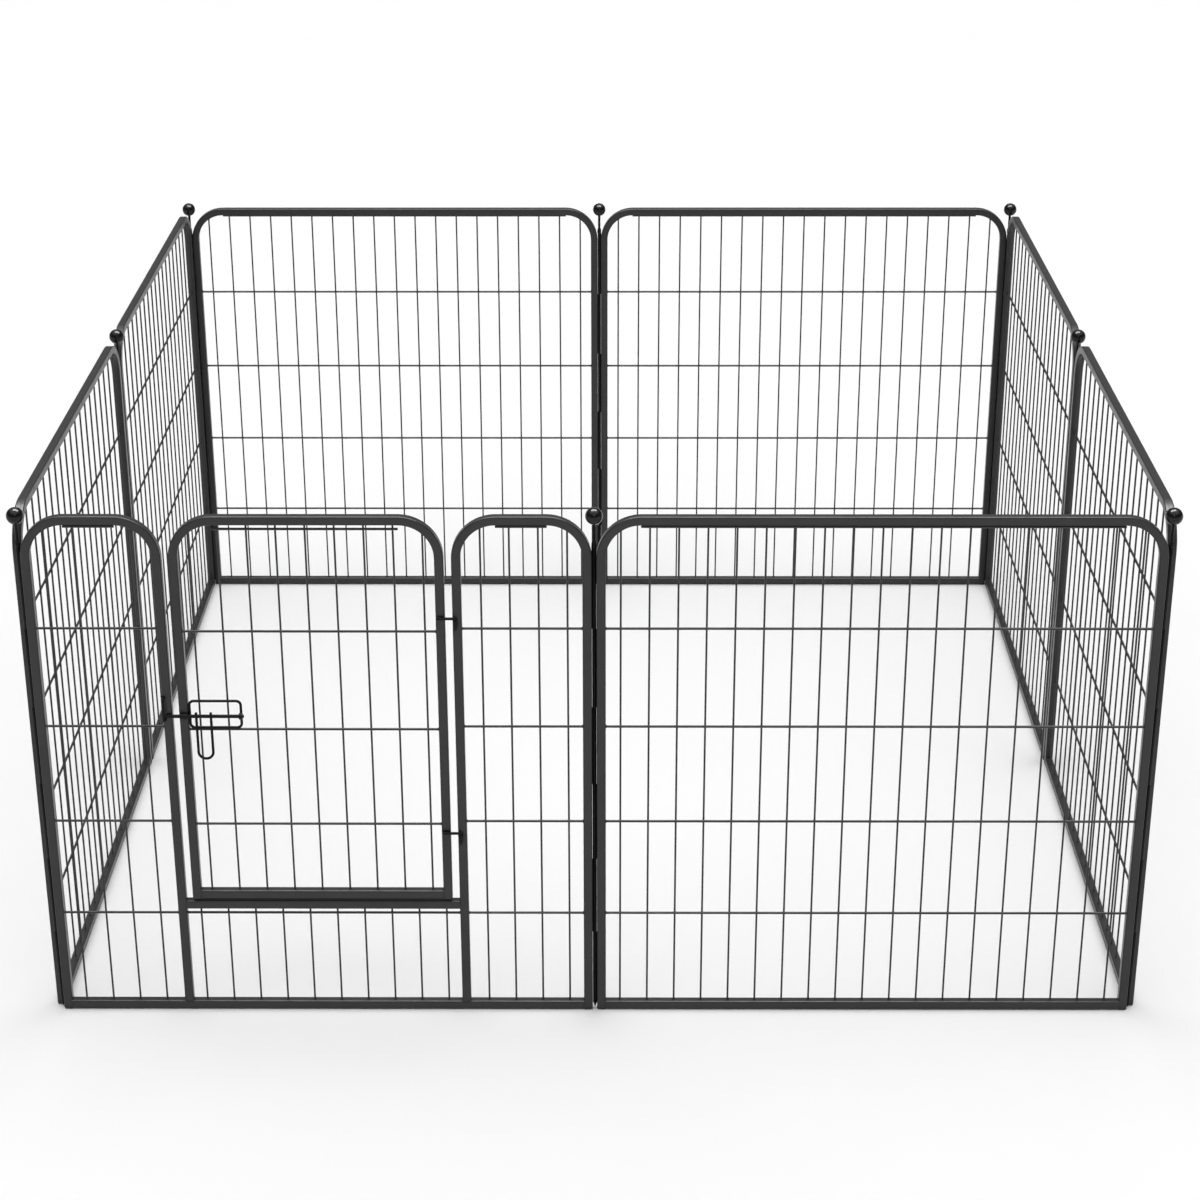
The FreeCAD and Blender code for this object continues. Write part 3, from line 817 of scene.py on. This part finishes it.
def gate_panel(index):
    """The fixed part of the gated panel: two narrow arches, two rails and the grilles round the gate."""
    body = "gate_panel"
    place = panel_place(index)
    latch_box = local_box(GATE + "_latch_side_arch", place)
    hinge_box = local_box(GATE + "_hinge_side_arch", place)
    rail_top = rail(GATE + "_rail", GATE + "_bottom_rail", body, place)[1].z
    threshold = rail(GATE + "_threshold", GATE + "_threshold_rail", body, place)
    foot = latch_box[0].z
    y = (latch_box[0].y + latch_box[1].y) / 2
    latch_post = latch_box[1].x - TUBE / 2
    hinge_post = hinge_box[0].x + TUBE / 2
    for side, box, feet, post_x in (("_latch_side", latch_box, (foot, rail_top), latch_post),
                                    ("_hinge_side", hinge_box, (rail_top, foot), hinge_post)):
        form = Form()
        arch(form, box, *feet)
        tube_weld(form, Vector((post_x, y, rail_top)), UP, ALONG)
        piece(GATE + side + "_frame", form, body, [GATE + side + "_arch"], look("tube_coat"), place)
    pitch = pitch_of(index)
    first = (pitch - (WIRE_COUNT - 1) * WIRE_PITCH) / 2
    left_places = [first + WIRE_PITCH * number for number in range(GATE_SIDE_WIRES)]
    sides = Form()
    gate_side(sides, latch_box, left_places, rail_top)
    gate_side(sides, hinge_box, [pitch - x for x in left_places], rail_top)
    piece(GATE + "_side_wires", sides, body, [GATE + "_side_grilles"], look("wire_coat"), place)
    low_wires = Form()
    low_first = (pitch - WIRE_PITCH * (GATE_LOW_WIRES - 1)) / 2
    low_places = [low_first + WIRE_PITCH * number for number in range(GATE_LOW_WIRES)]
    grille(low_wires, low_places, rail_top, lambda x: threshold[0].z, CROSS_LEVELS[:1],
           threshold[0].x, threshold[1].x, y)
    piece(GATE + "_low_wires", low_wires, body, [GATE + "_low_grille"], look("wire_coat"), place)
    seam_knuckles(GATE, body, index, place)
    foot_caps(GATE, body, place, foot)


def gate_leaf(place):
    """The tube, rail and wires that swing."""
    body = "gate_leaf"
    box = local_box("leaf_tube", place)
    low, high = box
    y = (low.y + high.y) / 2
    form = Form()
    arch(form, box, low.z, low.z)
    piece("leaf_frame", form, body, ["leaf_tube"], look("tube_coat"), place)
    rail_box = rail("leaf_rail", "leaf_bottom_rail", body, place)
    wires = Form()
    inner_left, inner_right = low.x + TUBE, high.x - TUBE
    first = (inner_left + inner_right - LEAF_WIRE_PITCH * (LEAF_WIRES - 1)) / 2
    places = [first + LEAF_WIRE_PITCH * number for number in range(LEAF_WIRES)]
    levels = [level - LEAF_LEVEL_DROP for level in CROSS_LEVELS[1:]]
    grille(wires, places, rail_box[1].z, lambda x: under_arch(x, low, high), levels,
           inner_left, inner_right, y)
    top_wire(wires, places, inner_left, inner_right, high.z - TUBE - LEAF_TOP_WIRE_DROP, y)
    piece("leaf_wires", wires, body, ["leaf_grille"], look("wire_coat"), place)


# ---------------------------------------------------------------- gate hinges

def hinge_places(place):
    """The gate's hinge axis and the level of each eye's top, from the eyes' box."""
    low, high = local_box(GATE + "_gate_hinge_eyes", place)
    axis = Vector(((low.x + high.x) / 2, low.y + HINGE_EYE_RADIUS, 0.0))
    return axis, (low.z + HINGE_EYE_HEIGHT, high.z)


def hinge_eyes(place):
    """Short tubes on the front of the hinge post."""
    form = Form()
    axis, tops = hinge_places(place)
    front = local_box(GATE + "_hinge_side_arch", place)[0].y
    for top in tops:
        base = Vector((axis.x, axis.y, top - HINGE_EYE_HEIGHT))
        collar_ring(form, HINGE_EYE_RADIUS, HINGE_EYE_BORE, HINGE_EYE_HEIGHT, base)
        for side in (-1, 1):
            start = Vector((axis.x + side * 1.75, front - 0.45, base.z + 0.7))
            bead_run(form, start, UP, HINGE_BEAD_STEP, EYE_BEAD_RINGS, INWARD, EYE_BEAD_RADIUS)
    piece("gate_hinge_eyes", form, "gate_panel", [GATE + "_gate_hinge_eyes"], look("fitting_coat"), place)


def hinge_pintles(place):
    """L-shaped rods that hang the leaf in the eyes."""
    form = Form()
    axis, tops = hinge_places(place)
    low, high = local_box("leaf_pintles", place)
    front = local_box("leaf_tube", place)[0].y
    arm_lift = high.z - HINGE_PIN_RADIUS - tops[-1]
    leg_length = arm_lift + HINGE_EYE_HEIGHT + PINTLE_PAST_EYE
    for top in tops:
        level = top + arm_lift
        corners = [Vector((low.x, axis.y, level)), Vector((axis.x, axis.y, level)),
                   Vector((axis.x, axis.y, level - leg_length))]
        round_bar(form, rounded_path(corners, HINGE_PIN_RADIUS * PINTLE_BEND, 10), INWARD, HINGE_PIN_RADIUS)
        for rise in (-1, 1):
            start = Vector((low.x + 0.6, front - 0.55, level + rise * 1.25))
            bead_run(form, start, ALONG, HINGE_BEAD_STEP, PINTLE_BEAD_RINGS, INWARD, BEAD_RADIUS)
    piece("gate_pintles", form, "gate_leaf", ["leaf_pintles"], look("fitting_coat"), place)


# ---------------------------------------------------------------- latch

def latch_bracket(place):
    """The wire loop on the leaf, the guide ring at its far end and the strap over the stile."""
    form = Form()
    low, high = local_box("bolt_bracket", place)
    bolt_low, bolt_high = local_box("latch_bolt", place)
    leaf_low = local_box("leaf_tube", place)[0]
    bolt_middle = (bolt_low + bolt_high) / 2
    half = LATCH_WIRE / 2
    y = leaf_low.y + half
    left = leaf_low.x + TUBE + half
    right = high.x - GUIDE_LENGTH / 2
    bottom, top = low.z + half, high.z - half
    middle = (left + right) / 2
    corners = [Vector((middle, y, bottom)), Vector((right, y, bottom)), Vector((right, y, top)),
               Vector((left, y, top)), Vector((left, y, bottom)), Vector((middle, y, bottom))]
    loop = rounded_path(corners, BRACKET_CORNER, 12)[:-1]
    swept(form, loop, INWARD, circle(half), closed=True)
    guide_base = Vector((right - GUIDE_LENGTH / 2, bolt_middle.y, bolt_middle.z))
    collar_ring(form, GUIDE_RADIUS, GUIDE_BORE, GUIDE_LENGTH, guide_base, axis=ALONG)
    saddle_base = Vector((low.x, bolt_middle.y, bolt_middle.z))
    saddle_length = TUBE - 2 * (low.x - leaf_low.x)
    collar_ring(form, SADDLE_RADIUS, GUIDE_BORE, saddle_length, saddle_base, axis=ALONG, sides=48,
                flat=leaf_low.y - bolt_middle.y)
    for z in (bottom + BRACKET_CORNER + 1, top - BRACKET_CORNER - 1):
        nugget(form, Vector((left - half, y, z)), BRACKET_SIDE_WELD)
    for x in (middle - 11, middle + 14):
        nugget(form, Vector((x, y + 0.5, bottom - half - 0.2)), BRACKET_LOW_WELD)
    piece("latch_bracket", form, "gate_leaf", ["bolt_bracket"], look("fitting_coat"), place)


def latch_bolt(place):
    form = Form()
    low, high = local_box("latch_bolt", place)
    length = high.x - low.x
    radius = (high.z - low.z) / 2
    tip = [(radius * 0.55, 0.0), (radius * 0.82, 0.18), (radius * 0.96, 0.55), (radius, BOLT_CHAMFER)]
    tail = [(r, length - h) for r, h in reversed(tip)]
    rubbed = 9.0
    profile = tip + [(radius, rubbed)] + tail
    wear_and_edge_shade = [1, 1, 1, 1, 0, 0, 0.6, 0.6, 0.6]
    turned(form, profile, Vector((low.x, (low.y + high.y) / 2, (low.z + high.z) / 2)), ALONG, 28, wear_and_edge_shade)
    piece("latch_bolt_rod", form, "latch_bolt", ["latch_bolt"], look("fitting_coat"), place)


def latch_handle(place):
    """The wire U that hangs from the front of the bolt."""
    form = Form()
    low, high = local_box("latch_handle", place)
    bolt_low, bolt_high = local_box("latch_bolt", place)
    half = LATCH_WIRE / 2
    y = (low.y + high.y) / 2
    left, right = low.x + half, high.x - half
    top = high.z - half * DOME_RISE
    corners = [Vector((left, y, top)), Vector((left, y, low.z + half)),
               Vector((right, y, low.z + half)), Vector((right, y, top))]
    round_bar(form, rounded_path(corners, (right - left) / 2 - 0.1, 18), INWARD, half)
    for x in (left, right):
        nugget(form, Vector((x, y + half, (bolt_low.z + bolt_high.z) / 2)), HANDLE_WELD)
    piece("latch_handle_loop", form, "latch_handle", ["latch_handle"], look("fitting_coat"), place)


def bolt_keeper(place):
    """The wire staple on the latch post."""
    form = Form()
    low, high = local_box(GATE + "_bolt_keeper", place)
    front = local_box(GATE + "_latch_side_arch", place)[0].y
    half = LATCH_WIRE / 2
    x = (low.x + high.x) / 2
    bottom, top = low.z + half, high.z - half
    corners = [Vector((x, front, bottom)), Vector((x, low.y + half, bottom)),
               Vector((x, low.y + half, top)), Vector((x, front, top))]
    stations = rounded_path(corners, KEEPER_CORNER, 12)
    rings = swept(form, stations, ALONG, circle(half))
    form.cap(rings[0])
    form.cap(rings[-1])
    for z in (bottom, top):
        nugget(form, Vector((x, front - 0.2, z)), KEEPER_WELD, 14, 6)
    piece("bolt_keeper_staple", form, "gate_panel", [GATE + "_bolt_keeper"], look("fitting_coat"), place)


# ---------------------------------------------------------------- seam pins

def ball_profile(radius, centre, neck):
    """From the neck up over the top of the ball, with a fine moulding line round its middle."""
    steps = 44
    start = math.asin(neck / radius)
    profile = []
    for step in range(steps + 1):
        angle = start + (math.pi - start) * step / steps
        seam_lift = BALL_SEAM * max(0.0, 1 - abs(angle - math.pi / 2) * radius / BALL_SEAM_HALF)
        out = radius - BALL_SEAM + seam_lift
        profile.append((max(0.06, out * math.sin(angle)), centre - out * math.cos(angle)))
    return profile


def seam_pin(pin):
    """A pointed rod with a shoulder, and its glossy ball."""
    low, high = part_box(pin)
    base = seam(pin) / MM
    foot = low.z / MM
    ball_radius = (high.x - low.x) / MM / 2
    centre = high.z / MM - ball_radius
    neck = centre - ball_radius * PIN_ENTRY
    cone_end = foot + PIN_TIP_LENGTH
    ledge = KNUCKLE_TOP + COLLAR_HEIGHT
    ledge_top = ledge + PIN_SHOULDER_HEIGHT
    tip = [(0.3, foot), (0.6, foot + 0.12), (0.75, foot + 0.5), (PIN_RADIUS - 0.06, cone_end - 0.4)]
    shoulder = [(PIN_RADIUS, ledge - 0.02), (PIN_SHOULDER_RADIUS - 0.3, ledge),
                (PIN_SHOULDER_RADIUS, ledge + 0.3), (PIN_SHOULDER_RADIUS, ledge_top - 0.4),
                (PIN_SHOULDER_RADIUS - 0.35, ledge_top), (PIN_RADIUS, ledge_top + 0.05)]
    flare = [(PIN_RADIUS, neck - 1.4), (PIN_RADIUS + 0.25, neck - 0.8), (PIN_RADIUS + 0.8, neck - 0.2),
             (PIN_RADIUS + PIN_NECK, neck + 1.2)]
    plain = [(PIN_RADIUS, cone_end + 0.3)] + shoulder + flare
    rod = Form()
    turned(rod, tip + plain, base, UP, 28, [1, 1, 1, 0.6] + [0.0] * len(plain))
    place = Matrix.Identity(4)
    piece(pin + "_rod", rod, pin, [pin], look("fitting_coat"), place)
    ball = Form()
    turned(ball, ball_profile(ball_radius, centre, PIN_RADIUS + PIN_NECK), base, UP, 56)
    piece(pin + "_ball", ball, pin, [pin], look("pin_gloss"), place)


# ---------------------------------------------------------------- studio

FLOOR_SIZE = 60.0            # metres
CAMERA_PLACE = (0.0184, -3.1378, 1.6241)
CAMERA_PITCH = 23.761        # degrees below level
CAMERA_YAW = -0.274          # degrees to the right of straight ahead
CAMERA_ROLL = -0.074
CAMERA_LENS = 77.34          # on a 36 mm sensor
CEILING_LIGHT = 1.85


def studio_floor():
    material, add, links, principled = shader("studio_floor")
    mottle = object_noise(add, links, 3.0, 2.0)
    links.new(blend_colours(add, links, mottle, (0.90, 0.90, 0.90), (0.93, 0.93, 0.93)),
              principled.inputs["Base Color"])
    principled.inputs["Roughness"].default_value = 0.9
    principled.inputs["IOR"].default_value = 1.2
    grid = bmesh.new()
    bmesh.ops.create_grid(grid, x_segments=12, y_segments=12, size=FLOOR_SIZE / 2)
    mesh = bpy.data.meshes.new("studio_floor")
    grid.to_mesh(mesh)
    grid.free()
    mesh.materials.append(material)
    floor = bpy.data.objects.new("studio_floor", mesh)
    floor.location.z = CAD_BOX[0].z - 0.0002
    bpy.context.scene.collection.objects.link(floor)


def studio_world():
    """Soft light from a bright ceiling above dim walls."""
    world = bpy.data.worlds.new("studio")
    bpy.context.scene.world = world
    world.use_nodes = True
    tree = world.node_tree
    place = tree.nodes.new("ShaderNodeTexCoord")
    split = tree.nodes.new("ShaderNodeSeparateXYZ")
    ramp = tree.nodes.new("ShaderNodeValToRGB")
    tree.links.new(place.outputs["Generated"], split.inputs["Vector"])
    tree.links.new(split.outputs["Z"], ramp.inputs["Fac"])
    stops = ramp.color_ramp.elements
    stops[0].position = 0.55
    stops[0].color = (0.13, 0.13, 0.13, 1.0)
    stops[1].position = 0.80
    stops[1].color = (1.0, 1.0, 1.0, 1.0)
    tree.links.new(ramp.outputs["Color"], tree.nodes["Background"].inputs["Color"])
    tree.nodes["Background"].inputs["Strength"].default_value = CEILING_LIGHT


def softbox(name, place, target, size, power, only_gloss=False):
    light = bpy.data.lights.new(name, "AREA")
    light.shape = "RECTANGLE"
    light.size, light.size_y = size
    light.energy = power
    lamp = bpy.data.objects.new(name, light)
    lamp.location = place
    lamp.rotation_euler = (Vector(target) - Vector(place)).to_track_quat("-Z", "Y").to_euler()
    lamp.visible_diffuse = not only_gloss
    bpy.context.scene.collection.objects.link(lamp)


def camera():
    pitch, yaw, roll = (math.radians(value) for value in (CAMERA_PITCH, CAMERA_YAW, CAMERA_ROLL))
    ahead = Vector((math.sin(yaw) * math.cos(pitch), math.cos(yaw) * math.cos(pitch), -math.sin(pitch)))
    level = Vector((math.cos(yaw), -math.sin(yaw), 0.0))
    right = math.cos(roll) * level + math.sin(roll) * level.cross(ahead)
    above = right.cross(ahead)
    data = bpy.data.cameras.new("camera")
    data.sensor_width = 36.0
    data.lens = CAMERA_LENS
    made = bpy.data.objects.new("camera", data)
    turn = Matrix((right, above, -ahead)).transposed().to_4x4()
    made.matrix_world = Matrix.Translation(CAMERA_PLACE) @ turn
    bpy.context.scene.collection.objects.link(made)
    bpy.context.scene.camera = made


def playpen():
    for index, panel in enumerate(PANELS):
        if panel == GATE:
            gate_panel(index)
        else:
            plain_panel(panel, index)
    place = panel_place(PANELS.index(GATE))
    gate_leaf(place)
    hinge_eyes(place)
    hinge_pintles(place)
    latch_bracket(place)
    latch_bolt(place)
    latch_handle(place)
    bolt_keeper(place)
    for pin in PINS:
        seam_pin(pin)


playpen()
studio_floor()
studio_world()
softbox("strip_light", (0, 0.2, 3.6), (0, 0, 0.5), (3.0, 1.4), 260.0, only_gloss=True)
softbox("front_light", (0.1, -3.2, 2.1), (0, 0, 0.5), (0.3, 0.3), 6.0, only_gloss=True)
camera()
bpy.context.scene.view_settings.view_transform = "Standard"
